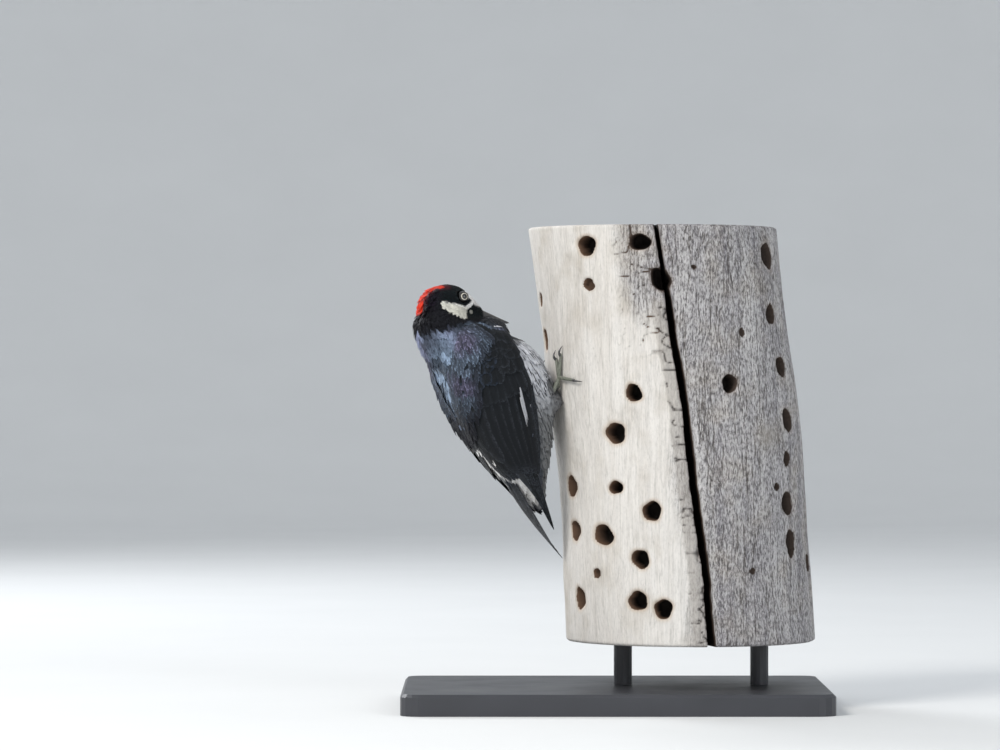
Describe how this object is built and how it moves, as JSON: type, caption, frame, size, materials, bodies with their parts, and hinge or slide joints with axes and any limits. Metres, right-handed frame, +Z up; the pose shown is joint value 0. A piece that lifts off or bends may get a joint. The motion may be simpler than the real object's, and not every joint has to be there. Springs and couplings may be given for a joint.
{
  "type": "acorn woodpecker on a display stand",
  "caption": "Life-size still model of an adult female acorn woodpecker clinging to a short cut length of dead trunk, held by a plain flat stand.",
  "frame": {"origin": "middle of the stand's underside, on the ground", "axes": "+Z up, -Y towards the viewer of the bird's right side and back, +X from the bird towards the trunk"},
  "size_m": [0.28, 0.19, 0.3155],
  "materials": {
    "head_feather": "glossy black feather",
    "black_feather": "glossy blue-black feather",
    "white_feather": "soft white feather with dark streaks",
    "horn": "polished black horn",
    "iris": "wet, glossy eye with a pale iris",
    "scaly_skin": "grey-green scaly skin",
    "dead_wood": "weathered dead wood, bare of bark",
    "painted_stand": "satin charcoal paint on board",
    "painted_rod": "satin charcoal paint on steel"
  },
  "bodies": {
    "root": {"head": "head_feather", "neck": "black_feather", "body": "black_feather", "rump": "black_feather", "bill_upper": "horn", "bill_lower": "horn", "eye_left": "iris", "eye_right": "iris", "wing_left": "black_feather", "wing_right": "black_feather", "primaries_left": "black_feather", "primaries_right": "black_feather", "tail": "black_feather", "thigh_left": "white_feather", "thigh_right": "white_feather", "foot_left": "scaly_skin", "foot_right": "scaly_skin", "claw_left_inner": "horn", "claw_left_middle": "horn", "claw_left_outer": "horn", "claw_left_hind": "horn", "claw_right_inner": "horn", "claw_right_middle": "horn", "claw_right_outer": "horn", "claw_right_hind": "horn", "perch": "dead_wood", "stand_base": "painted_stand", "stand_rod_1": "painted_rod", "stand_rod_2": "painted_rod"}
  },
  "joints": []
}
